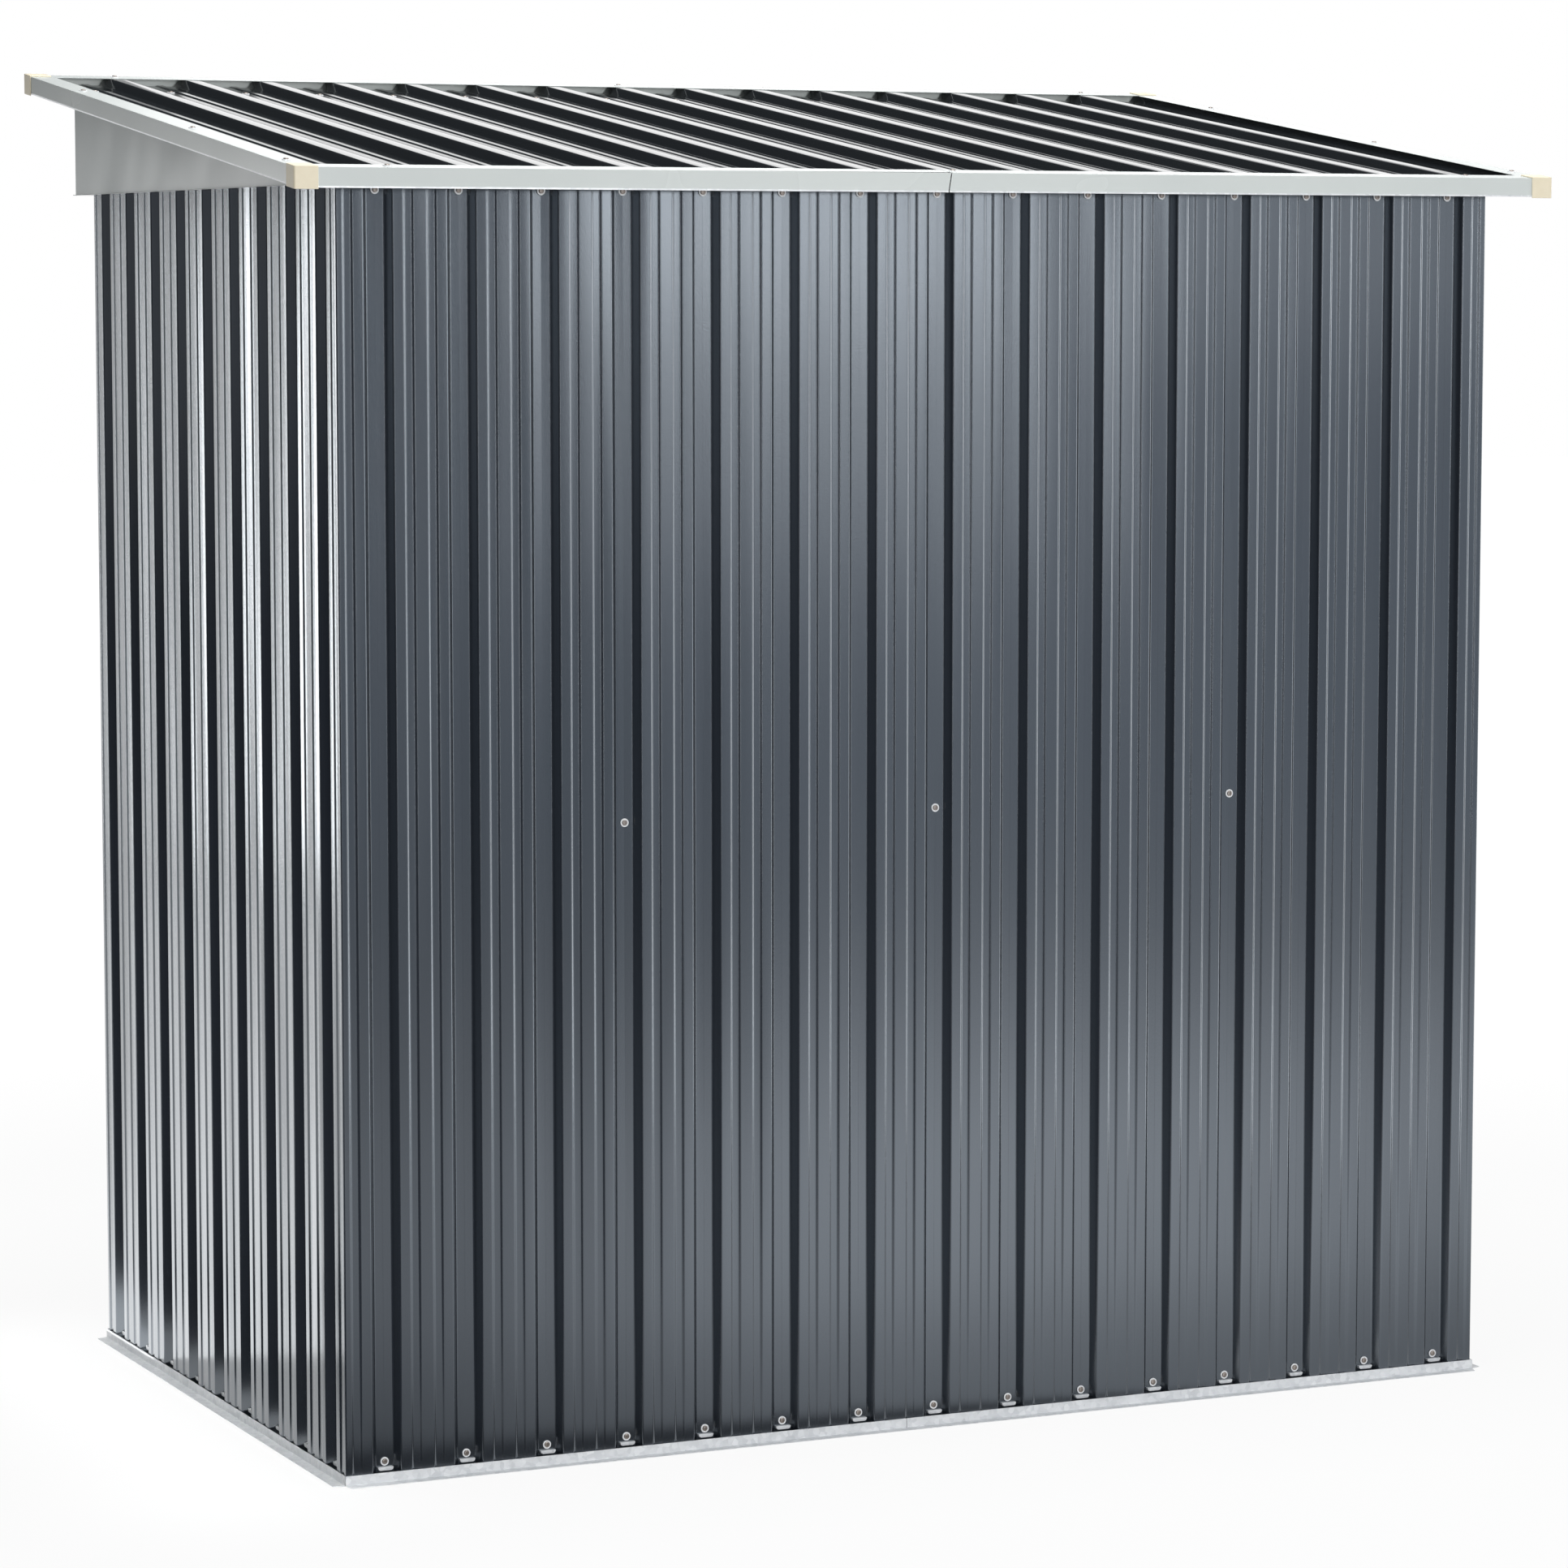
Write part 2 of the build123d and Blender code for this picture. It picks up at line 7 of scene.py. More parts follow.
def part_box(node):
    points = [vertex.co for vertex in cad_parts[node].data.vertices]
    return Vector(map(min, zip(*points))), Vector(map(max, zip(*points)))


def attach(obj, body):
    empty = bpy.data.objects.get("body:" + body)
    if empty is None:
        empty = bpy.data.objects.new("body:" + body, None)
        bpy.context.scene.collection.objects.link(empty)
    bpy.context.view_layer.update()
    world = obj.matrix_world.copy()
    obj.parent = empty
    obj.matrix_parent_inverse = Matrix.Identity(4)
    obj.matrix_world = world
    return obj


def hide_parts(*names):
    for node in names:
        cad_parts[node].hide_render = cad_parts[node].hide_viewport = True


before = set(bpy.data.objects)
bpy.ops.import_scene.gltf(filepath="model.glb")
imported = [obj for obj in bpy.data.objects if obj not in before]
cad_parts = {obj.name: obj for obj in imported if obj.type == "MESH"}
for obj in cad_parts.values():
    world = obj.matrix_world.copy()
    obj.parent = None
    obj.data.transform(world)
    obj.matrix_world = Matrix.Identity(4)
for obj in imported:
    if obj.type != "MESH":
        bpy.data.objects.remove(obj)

scene = bpy.context.scene
scene.view_settings.view_transform = "Standard"
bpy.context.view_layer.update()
mm = 0.001
touch = 0.05 * mm  # closer than this counts as the same place
smoothing = {"sheet": 34, "folded": 40, "screw": 35}
print("frame loaded:", len(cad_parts), "nodes")

# the rolled sheet, and the faces of the walls it makes
rolled = {"pitch": 112 * mm, "gauge": 0.6 * mm, "ribDepth": 12 * mm, "valleyHalf": 12.2 * mm, "ribRun": 7.2 * mm,
          "beadSpacing": 31 * mm, "beadHalf": 4.5 * mm, "beadRun": 2.5 * mm, "beadDepth": 1.6 * mm,
          "lapGap": 0.8 * mm, "ribBend": 1.8 * mm, "beadBend": 1.1 * mm, "foldBend": 2.0 * mm, "pitches": 4}
roofRolled = {**rolled, "valleyHalf": 11 * mm, "ribRun": 8.4 * mm, "ribBend": 2.4 * mm}
pitch = rolled["pitch"]
wallLow, wallHigh = [corner.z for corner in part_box("rear_sheet_right")]
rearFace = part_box("rear_sheet_right")[1].y
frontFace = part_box("front_left_corner_sheet")[0].y
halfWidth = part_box("right_sheet_front")[1].x


# hand tools
def clearSelection():
    if bpy.context.object and bpy.context.object.mode != "OBJECT":
        bpy.ops.object.mode_set(mode="OBJECT")
    bpy.ops.object.select_all(action="DESELECT")


def makeActive(piece):
    clearSelection()
    piece.select_set(True)
    bpy.context.view_layer.objects.active = piece


def startEdit(piece, kind="VERT"):
    makeActive(piece)
    bpy.ops.object.mode_set(mode="EDIT")
    bpy.ops.mesh.select_mode(type=kind)
    bpy.ops.mesh.select_all(action="DESELECT")


def endEdit():
    bpy.ops.object.mode_set(mode="OBJECT")


# selects what passes the test, by the place of its middle (and its direction)
def pick(piece, kind, test):
    bpy.ops.mesh.select_mode(type=kind)
    bpy.ops.mesh.select_all(action="DESELECT")
    edit = bmesh.from_edit_mesh(piece.data)
    if kind == "VERT":
        for vert in edit.verts:
            vert.select_set(test(vert.co))
    elif kind == "EDGE":
        for edge in edit.edges:
            start, stop = edge.verts[0].co, edge.verts[1].co
            edge.select_set(test((start + stop) / 2, stop - start))
    else:
        for face in edit.faces:
            face.select_set(test(face.calc_center_median(), face.normal))
    edit.select_flush_mode()
    bmesh.update_edit_mesh(piece.data)


def extrude(move):
    bpy.ops.mesh.extrude_region_move(TRANSFORM_OT_translate={"value": move})


def applyModifier(piece, kind, **settings):
    makeActive(piece)
    bpy.ops.object.modifier_add(type=kind)
    modifier = piece.modifiers[-1]
    for name, value in settings.items():
        setattr(modifier, name, value)
    bpy.ops.object.modifier_apply(modifier=modifier.name)


def applyPlace(piece, matrix=None):
    makeActive(piece)
    if matrix is not None:
        piece.matrix_world = matrix @ piece.matrix_world
    bpy.ops.object.transform_apply(location=True, rotation=True, scale=True)


def copyOf(piece, name):
    makeActive(piece)
    bpy.ops.object.duplicate(linked=False)
    copy = bpy.context.object
    copy.name = name
    copy.data.name = name
    return copy


def joinAll(pieces, name):
    makeActive(pieces[0])
    for piece in pieces[1:]:
        piece.select_set(True)
    bpy.ops.object.join()
    joined = bpy.context.object
    joined.name = name
    joined.data.name = name
    return joined


def smoothBends(piece, degrees):
    makeActive(piece)
    bpy.ops.object.shade_smooth_by_angle(angle=math.radians(degrees))
    applyModifier(piece, "WEIGHTED_NORMAL", mode="FACE_AREA", keep_sharp=True)


# materials
class Wire:
    # one socket of a node tree, usable in sums
    def __init__(self, tree, socket):
        self.tree = tree
        self.socket = socket

    def plug(self, value, slot):
        if isinstance(value, Wire):
            self.tree.links.new(value.socket, slot)
        elif value is not None:
            slot.default_value = value

    def math(self, operation, first, second=None):
        node = self.tree.nodes.new("ShaderNodeMath")
        node.operation = operation
        self.plug(first, node.inputs[0])
        self.plug(second, node.inputs[1])
        return Wire(self.tree, node.outputs[0])

    def __add__(self, other):
        return self.math("ADD", self, other)

    __radd__ = __add__

    def __mul__(self, other):
        return self.math("MULTIPLY", self, other)

    __rmul__ = __mul__

    def __sub__(self, other):
        return self.math("SUBTRACT", self, other)

    def __rsub__(self, other):
        return self.math("SUBTRACT", other, self)

    def __truediv__(self, other):
        return self.math("DIVIDE", self, other)

    # any other node: its type, its settings, the output to hand on, then its sockets by name or number
    def node(self, kind, settings=None, output=0, **sockets):
        node = self.tree.nodes.new("ShaderNode" + kind)
        for name, value in (settings or {}).items():
            if name == "stops":
                ramp = node.color_ramp
                while len(ramp.elements) < len(value):
                    ramp.elements.new(1)
                for element, (place, level) in zip(ramp.elements, value):
                    element.position = place
                    element.color = (level, level, level, 1)
            else:
                setattr(node, name, value)
        for name, value in sockets.items():
            slot = node.inputs[int(name[2:])] if name.startswith("in") else node.inputs[name.replace("_", " ")]
            self.plug(value, slot)
        return Wire(self.tree, node.outputs[output])


def newMaterial(name):
    material = bpy.data.materials.new(name)
    material.use_nodes = True
    tree = material.node_tree
    return material, tree.nodes["Principled BSDF"], Wire(tree, None).node("TexCoord", None, "Object")


# a noise pattern stretched along the axes, from 0 to 1
def pattern(place, scale, detail=2.0, roughness=0.5):
    moved = place.node("Mapping", {"vector_type": "POINT"}, Vector=place, Scale=scale)
    return place.node("TexNoise", {"noise_dimensions": "3D"}, Vector=moved, Scale=1.0, Detail=detail,
                      Roughness=roughness)


def blend(place, factor, dark, light):
    return place.node("Mix", {"data_type": "RGBA"}, 2, in0=factor, in6=(*dark, 1), in7=(*light, 1))


def bumped(place, height, distance, normal=None):
    return place.node("Bump", None, Height=height, Distance=distance, Strength=1.0, Normal=normal)


def setShader(shader, place, **sockets):
    for name, value in sockets.items():
        place.plug(value, shader.inputs[name.replace("_", " ")])


# coil-coated sheet: dark glossy paint that is never quite flat
# tint colours the paint's reflections, a painted cool cast: bluish on the walls, less on the roof
wallPaint = {"roof": False, "dark": (0.008, 0.010, 0.0135), "light": (0.012, 0.015, 0.020), "tint": (0.84, 0.92, 1),
             "ior": 2.2, "gloss": 0.15, "waveHeight": 4.0 * mm, "panHeight": 1.6 * mm, "peelHeight": 0.04 * mm,
             "dish": 0}
roofPaint = {"roof": True, "dark": (0.010, 0.0115, 0.013), "light": (0.015, 0.017, 0.019), "tint": (0.92, 0.96, 1),
             "ior": 1.75, "gloss": 0.07, "waveHeight": 0.7 * mm, "panHeight": 0.25 * mm, "peelHeight": 0.002 * mm,
             "dish": 1.6 * mm}
glossRange = 0.06
# how fast the buckles change along a sheet, and what sets one pan, wall and wave apart from the next
buckle = {"roofRate": 1.1, "wallRate": 0.7, "panStep": 3.7, "rowStep": 5.3, "waveStep": 9.0,
          "waves": ((1, 1.0), (2, 0.6))}


# every pan between two ribs is dished in its own way, changing slowly along the sheet
def panBuckles(place, look):
    x, y, z = [place.node("SeparateXYZ", None, axis, Vector=place) for axis in range(3)]
    across = x / pitch
    if look["roof"]:
        stations, row, along = [across], 0.0, y * buckle["roofRate"]
    else:
        inward = (y - rearFace) / pitch + 0.5
        stations, along = [across, inward], z * buckle["wallRate"]
        row = inward.math("FLOOR", inward) * buckle["rowStep"]
    height = None
    for station in stations:
        part = station.math("FRACT", station)
        for waves, share in buckle["waves"]:
            spot = place.node("CombineXYZ", None, X=across.math("FLOOR", across) * buckle["panStep"], Y=row,
                              Z=along + buckle["waveStep"] * waves)
            dish = place.node("TexNoise", None, Vector=spot, Scale=1.0, Detail=1.0) - 0.5
            swell = part.math("SINE", part * (2 * math.pi * waves)) * dish * share
            height = swell if height is None else height + swell
    return height


def makeSheetPaint(name, look):
    material, shader, place = newMaterial(name)
    waves = pattern(place, (9, 0.8, 9) if look["roof"] else (9, 9, 0.8), 1.0)  # these run with the ribs
    peel = pattern(place, (520, 520, 520), 2.0)
    tone = pattern(place, (3, 3, 0.6), 3.0, 0.55)
    normal = bumped(place, waves, look["waveHeight"])
    normal = bumped(place, panBuckles(place, look), look["panHeight"], normal=normal)
    if look["dish"]:
        across = place.node("SeparateXYZ", None, 0, Vector=place) * (2 * math.pi / pitch)
        sag = across.math("COSINE", across)  # pans hang between the ribs
        normal = bumped(place, sag, look["dish"], normal=normal)
    normal = bumped(place, peel, look["peelHeight"], normal=normal)
    # the specular tint is a painted cool cast on every reflection
    setShader(shader, place, Base_Color=blend(place, tone, look["dark"], look["light"]),
              Roughness=look["gloss"] + glossRange * tone, IOR=look["ior"], Specular_Tint=(*look["tint"], 1),
              Normal=normal)
    return material


# painted trims and panels in two greys, smooth and slightly wavy
def makeGreyPaint(name, dark, light, gloss, wave):
    material, shader, place = newMaterial(name)
    waves = pattern(place, (7, 7, 5), 1.0)
    peel = pattern(place, (480, 480, 480), 2.0)
    tone = pattern(place, (5, 5, 4), 2.0, 0.5)
    normal = bumped(place, waves, wave)
    normal = bumped(place, peel, 0.04 * mm, normal=normal)
    setShader(shader, place, Base_Color=blend(place, tone, dark, light), Roughness=gloss + glossRange * tone,
              Normal=normal)
    return material


# hot-dip zinc: large soft spangles in the tone and the gloss
def makeGalvanised(name):
    material, shader, place = newMaterial(name)
    cells = place.node("TexVoronoi", {"feature": "F1"}, 1, Vector=place, Scale=150.0)
    spangle = place.node("RGBToBW", None, in0=cells)
    stain = pattern(place, (22, 22, 22), 4.0, 0.6)
    mask = 0.55 * spangle + 0.45 * stain
    scratch = pattern(place, (300, 300, 40), 2.0)
    setShader(shader, place, Base_Color=blend(place, mask, (0.50, 0.52, 0.54), (0.84, 0.85, 0.86)), Metallic=0.4,
              Roughness=0.36 + 0.22 * mask, Normal=bumped(place, scratch, 0.06 * mm))
    return material


def makePlastic(name, dark, light, gloss, grain):
    material, shader, place = newMaterial(name)
    tone = pattern(place, (60, 60, 60), 4.0, 0.6)
    spark = pattern(place, (1500, 1500, 1500), 2.0)
    setShader(shader, place, Base_Color=blend(place, tone, dark, light), Roughness=gloss + 2 * glossRange * tone,
              Normal=bumped(place, spark, grain))
    return material


def makeZinc(name):
    material, shader, place = newMaterial(name)
    tone = pattern(place, (700, 700, 700), 3.0, 0.6)
    setShader(shader, place, Base_Color=blend(place, tone, (0.17, 0.14, 0.12), (0.50, 0.45, 0.41)), Metallic=1.0,
              Roughness=0.2 + 0.2 * tone)
    return material


finishes = {
    "wall_paint": makeSheetPaint("wall_paint_coil", wallPaint),
    "roof_paint": makeSheetPaint("roof_paint_coil", roofPaint),
    "trim_paint": makeGreyPaint("trim_paint_pale", (0.60, 0.64, 0.63), (0.68, 0.72, 0.70), 0.24, 0.7 * mm),
    "panel_paint": makeGreyPaint("panel_paint_grey", (0.545, 0.585, 0.58), (0.61, 0.65, 0.645), 0.22, 3.0 * mm),
    "galvanised_steel": makeGalvanised("galvanised_zinc"),
    "cap_plastic": makePlastic("cap_cream", (0.80, 0.71, 0.52), (0.88, 0.80, 0.62), 0.38, 0.03 * mm),
    "handle_plastic": makePlastic("handle_black", (0.02, 0.02, 0.022), (0.032, 0.032, 0.034), 0.42, 0.04 * mm),
}
screwZinc = makeZinc("screw_zinc")
washerWhite = makePlastic("washer_clear", (0.82, 0.83, 0.85), (0.93, 0.94, 0.95), 0.2, 0.02 * mm)
print("materials made:", len(finishes) + 2)


def dress(piece, slot, *nodes):
    piece.data.materials.clear()
    piece.data.materials.append(finishes[slot])
    if slot in ("wall_paint", "roof_paint"):
        piece.data.materials.append(finishes["galvanised_steel"])  # bare cut edges
    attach(piece, "root")
    if nodes:
        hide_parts(*nodes)


# rolled sheets: one sheet of four pitches is rolled, then copied, folded, cut and turned over
def sheetStations(form):
    pitch, valley, brow = form["pitch"], form["valleyHalf"], form["valleyHalf"] + form["ribRun"]
    flat, foot = form["beadHalf"], form["beadHalf"] + form["beadRun"]
    over = form["ribDepth"] - form["gauge"]
    path = [(form["lapGap"] - valley, over, ""), (valley, over, "rib"), (brow, 0, "rib")]
    for index in range(form["pitches"]):
        for side in (-0.5, 0.5):
            middle = (index + 0.5) * pitch + side * form["beadSpacing"]
            path += [(middle - foot, 0, "bead"), (middle - flat, form["beadDepth"], "bead"),
                     (middle + flat, form["beadDepth"], "bead"), (middle + foot, 0, "bead")]
        rib = (index + 1) * pitch
        path += [(rib - brow, 0, "rib"), (rib - valley, form["ribDepth"], "rib")]
        if index + 1 < form["pitches"]:
            path += [(rib + valley, form["ribDepth"], "rib"), (rib + brow, 0, "rib")]
        else:
            path += [(rib + valley - form["lapGap"], form["ribDepth"], "")]
    return path


# the sheet stands on z = 0 in the rear wall's attitude: it runs towards -X and faces +Y
def rollSheet(length, form):
    path = sheetStations(form)
    first, second = path[0], path[1]
    clearSelection()
    bpy.ops.mesh.primitive_plane_add(size=1, rotation=(-math.pi / 2, 0, 0))
    strip = bpy.context.object
    strip.name = "rolled_sheet"
    strip.scale = (second[0] - first[0], length, 1)
    strip.location = (-(first[0] + second[0]) / 2, -first[1], length / 2)
    applyPlace(strip)
    startEdit(strip)
    edge = -second[0]
    pick(strip, "VERT", lambda co: abs(co.x - edge) < touch)
    for before, after in zip(path[1:], path[2:]):
        extrude((before[0] - after[0], before[1] - after[1], 0))
    for kind, size in (("rib", form["ribBend"]), ("bead", form["beadBend"])):
        places = [-stop for stop, depth, bend in path if bend == kind]
        pick(strip, "EDGE", lambda co, way: abs(way.z) > length / 2
             and min(abs(co.x - x) for x in places) < touch)
        bpy.ops.mesh.bevel(offset=size, segments=3, affect="EDGES", clamp_overlap=False)
    endEdit()
    return strip


def thicken(piece):
    applyModifier(piece, "SOLIDIFY", thickness=rolled["gauge"], offset=-1, use_even_offset=True,
                  material_offset_rim=1)
    smoothBends(piece, smoothing["sheet"])


def cut(piece, point, normal):
    startEdit(piece)
    bpy.ops.mesh.select_all(action="SELECT")
    bpy.ops.mesh.bisect(plane_co=point, plane_no=normal, clear_outer=True)
    endEdit()


# folds the part of a sheet that lies before or after a corner round the corner line
def foldCorner(piece, corner, before):
    length = piece.dimensions.z
    startEdit(piece)
    bpy.ops.mesh.select_all(action="SELECT")
    bpy.ops.mesh.bisect(plane_co=(-corner, 0, 0), plane_no=(1, 0, 0))
    side = 1 if before else -1
    pick(piece, "VERT", lambda co: side * (co.x + corner) > touch)
    # the operator turns the other way here
    bpy.ops.transform.rotate(value=side * math.pi / 2, orient_axis="Z", orient_type="GLOBAL",
                             center_override=(-corner, 0, 0))
    pick(piece, "EDGE", lambda co, way: abs(way.z) > length / 2 and abs(co.x + corner) < touch
         and abs(co.y) < touch)
    bpy.ops.mesh.bevel(offset=rolled["foldBend"], segments=4, affect="EDGES", clamp_overlap=False)
    endEdit()


wallLength = wallHigh - wallLow
master = rollSheet(wallLength, rolled)
roofMaster = rollSheet(wallLength, roofRolled)
walls = {"rear": (Vector((halfWidth, rearFace, 0)), 0), "left": (Vector((-halfWidth, rearFace, 0)), 90),
         "front": (Vector((-halfWidth, frontFace, 0)), 180), "right": (Vector((halfWidth, frontFace, 0)), 270)}


# a frame whose -X runs along a wall and whose +Y points out of it
def wallPlace(wall, along, height=0.0, inset=0.0):
    origin, turn = walls[wall]
    return (Matrix.Translation(origin) @ Matrix.Rotation(math.radians(turn), 4, "Z")
            @ Matrix.Translation((-along, -inset, height)))


# each sheet: its wall, the rib it starts on, and the pitches before its corner fold
wallSheets = {
    "rear_right_corner_sheet": ("rear", -1, 0.5, True), "rear_sheet_right": ("rear", 3, None, None),
    "rear_sheet_left": ("rear", 7, None, None), "rear_left_corner_sheet": ("rear", 11, 3.5, False),
    "left_sheet_rear": ("left", 0, None, None), "left_sheet_front": ("left", 4, None, None),
    "front_left_corner_sheet": ("front", -1, 0.5, True), "front_right_corner_sheet": ("front", 11, 3.5, False),
    "right_sheet_front": ("right", 0, None, None), "right_sheet_rear": ("right", 4, None, None),
}
for node, (wall, rib, corner, before) in wallSheets.items():
    piece = copyOf(master, node + "_rolled")
    if corner is not None:
        foldCorner(piece, corner * pitch, before)
    applyPlace(piece, wallPlace(wall, (rib + 0.5) * pitch, wallLow))
    dress(piece, "wall_paint", node)
    thicken(piece)
print("wall sheets rolled:", len(wallSheets))

# door sheets: the middle three ribs of a sheet, cut to the leaf
for hand in ("right", "left"):
    node = "door_" + hand + "_sheet"
    low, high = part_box(node)
    piece = copyOf(master, node + "_rolled")
    middle = rolled["pitches"] / 2 * pitch
    half = (high.x - low.x) / 2
    cut(piece, (half - middle, 0, 0), (1, 0, 0))
    cut(piece, (-half - middle, 0, 0), (-1, 0, 0))
    cut(piece, (0, 0, high.z - low.z), (0, 0, 1))
    along = (low.x + high.x) / 2 + halfWidth - middle
    applyPlace(piece, wallPlace("front", along, low.z, low.y - frontFace))
    dress(piece, "wall_paint", node)
    thicken(piece)

# roof sheets: turned over, so the ribs stand up, and cut to the length of the slope
trimLow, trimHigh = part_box("roof_trim_right")
roofFall = {"drop": 152 * mm, "run": 1150 * mm}
slope = math.atan2(roofFall["drop"], roofFall["run"])
roofNormal = Vector((0, math.sin(slope), math.cos(slope)))
for index in range(4):
    node = "roof_sheet_" + str(index + 1)
    low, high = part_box(node)
    piece = copyOf(roofMaster, node + "_rolled")
    rise = rolled["ribDepth"] + rolled["gauge"]
    run = (high.y - low.y - rise * math.sin(slope)) / math.cos(slope)
    cut(piece, (0, 0, run), (0, 0, 1))
    start = Vector(((index * 4 - 8) * pitch, high.y - rise * math.sin(slope), low.z))
    turn = Matrix(((-1, 0, 0), (0, -math.sin(slope), -math.cos(slope)), (0, -math.cos(slope), math.sin(slope))))
    applyPlace(piece, Matrix.Translation(start) @ turn.to_4x4())
    dress(piece, "roof_paint", node)
    thicken(piece)
bpy.data.objects.remove(master)
bpy.data.objects.remove(roofMaster)
print("door and roof sheets made")


# folded and moulded pieces: a copy of the solid, merged, with its edges eased
merging = {"gap": 0.005 * mm, "flat": math.radians(0.4), "sharp": math.radians(25)}
kick = {"height": 2.3 * mm, "out": 1.45 * mm, "grip": 0.4, "facing": 0.4}


# the lowest strip of a trim is pressed out or in, so it catches the light
def kickEdge(piece, out, up, move):
    low = min(up.dot(vert.co) for vert in piece.data.vertices)
    bpy.ops.mesh.select_all(action="SELECT")
    bpy.ops.mesh.bisect(plane_co=up * (low + kick["height"]), plane_no=up)
    pick(piece, "VERT", lambda co: up.dot(co) < low + kick["grip"] * kick["height"])
    bpy.ops.transform.translate(value=out * move)


# a painted highlight along the lip: the lowest strip of the trim takes the pale zinc finish in place of its paint
def paleLipHighlight(piece, out, up):
    low = min(up.dot(vert.co) for vert in piece.data.vertices)
    piece.data.materials.append(finishes["galvanised_steel"])
    startEdit(piece, "FACE")
    pick(piece, "FACE", lambda co, way: up.dot(co) < low + kick["height"] and out.dot(way) > kick["facing"])
    piece.active_material_index = 1
    bpy.ops.object.material_slot_assign()
    endEdit()


# the two rear trims meet in a thin dark seam, which leans towards the right side
seam = {"reach": 14 * mm, "lean": 8 * mm, "gap": 0.5 * mm, "low": 2 * mm}
seamEnds = {"roof_trim_rear_right": 1, "roof_trim_rear_left": -1}


def leanSeam(piece, side):
    low = min(vert.co.z for vert in piece.data.vertices)
    pick(piece, "VERT", lambda co: abs(co.x) < seam["reach"])
    bpy.ops.transform.translate(value=(side * seam["gap"], 0, 0))
    pick(piece, "VERT", lambda co: abs(co.x) < seam["reach"] and co.z < low + seam["low"])
    bpy.ops.transform.translate(value=(seam["lean"], 0, 0))


# each trim: the way it faces, the way up along it, and whether its lip goes out or in
upward = Vector((0, 0, 1))
kicks = {"roof_trim_rear_right": (Vector((0, 1, 0)), upward, 1),
         "roof_trim_rear_left": (Vector((0, 1, 0)), upward, 1),
         "roof_trim_front": (Vector((0, -1, 0)), upward, 1),
         "roof_trim_right": (Vector((1, 0, 0)), roofNormal, -1),
         "roof_trim_left": (Vector((-1, 0, 0)), roofNormal, -1)}


def easedCopy(node, width):
    piece = bpy.data.objects.new(node + "_eased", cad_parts[node].data.copy())
    scene.collection.objects.link(piece)
    slot = piece.data.materials[0].name
    startEdit(piece, "EDGE")
    bpy.ops.mesh.select_all(action="SELECT")
    bpy.ops.mesh.remove_doubles(threshold=merging["gap"])
    bpy.ops.mesh.dissolve_limited(angle_limit=merging["flat"])
    if node in seamEnds:
        leanSeam(piece, seamEnds[node])
    if node in kicks:
        out, up, way = kicks[node]
        kickEdge(piece, out, up, way * kick["out"])
    bpy.ops.mesh.select_all(action="DESELECT")
    bpy.ops.mesh.edges_select_sharp(sharpness=merging["sharp"])
    bpy.ops.mesh.bevel(offset=width, segments=2, affect="EDGES", clamp_overlap=True)
    endEdit()
    smoothBends(piece, smoothing["folded"])
    dress(piece, slot, node)
    # painted highlight: the trim's lip takes the pale zinc finish
    if node in kicks:
        paleLipHighlight(piece, out, up)


easing = {"roof_trim": 0.35 * mm, "gable_panel": 0.3 * mm, "front_fascia": 0.3 * mm, "base_rail": 0.4 * mm,
          "door_right_frame": 0.8 * mm, "door_left_frame": 0.8 * mm, "door_handles": 0.8 * mm,
          "roof_corner_caps": 0.7 * mm}
for node in sorted(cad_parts):
    for start, width in easing.items():
        if node.startswith(start):
            easedCopy(node, width)
print("folded pieces eased")

# the rest of the frame keeps its own shape
for node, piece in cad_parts.items():
    slot = piece.data.materials[0].name.split(".")[0]
    if slot in finishes:
        piece.data.materials[0] = finishes[slot]


# fasteners
screw = {"washer": 5.6 * mm, "washerRise": 1.3 * mm, "hole": 3.9 * mm, "head": 3.5 * mm, "headRise": 2.6 * mm,
         "slot": 0.9 * mm, "slotReach": 2.1 * mm, "slotDeep": 1.0 * mm, "washerEase": 0.35 * mm, "headEase": 1.1 * mm}


# a screw stands on the plane y = 0 and points to +Y
def makeScrew():
    clearSelection()
    turned = (-math.pi / 2, 0, 0)
    bpy.ops.mesh.primitive_cylinder_add(vertices=20, radius=screw["washer"], depth=screw["washerRise"],
                                        rotation=turned, location=(0, screw["washerRise"] / 2, 0))
    washer = bpy.context.object
    applyPlace(washer)
    startEdit(washer)
    pick(washer, "FACE", lambda co, way: way.y > 0.9)
    bpy.ops.mesh.inset(thickness=screw["washer"] - screw["hole"], depth=0)
    extrude((0, -0.7 * screw["washerRise"], 0))
    pick(washer, "EDGE", lambda co, way: co.y > 0.9 * screw["washerRise"])
    bpy.ops.mesh.bevel(offset=screw["washerEase"], segments=2, affect="EDGES")
    endEdit()
    washer.data.materials.append(washerWhite)
    bpy.ops.mesh.primitive_cylinder_add(vertices=20, radius=screw["head"], depth=screw["headRise"],
                                        rotation=turned, location=(0, screw["headRise"] / 2, 0))
    head = bpy.context.object
    applyPlace(head)
    startEdit(head)
    pick(head, "EDGE", lambda co, way: co.y > 0.9 * screw["headRise"])
    bpy.ops.mesh.bevel(offset=screw["headEase"], segments=3, affect="EDGES")
    endEdit()
    for size in ((screw["slotReach"], screw["slot"]), (screw["slot"], screw["slotReach"])):
        clearSelection()
        bpy.ops.mesh.primitive_cube_add(size=1, location=(0, screw["headRise"], 0))
        blade = bpy.context.object
        blade.scale = (2 * size[0], 2 * screw["slotDeep"], 2 * size[1])
        applyPlace(blade)
        applyModifier(head, "BOOLEAN", operation="DIFFERENCE", object=blade, solver="EXACT")
        bpy.data.objects.remove(blade)
    head.data.materials.append(screwZinc)
    piece = joinAll([washer, head], "screw")
    makeActive(piece)
    bpy.ops.object.shade_smooth_by_angle(angle=math.radians(smoothing["screw"]))
    return piece


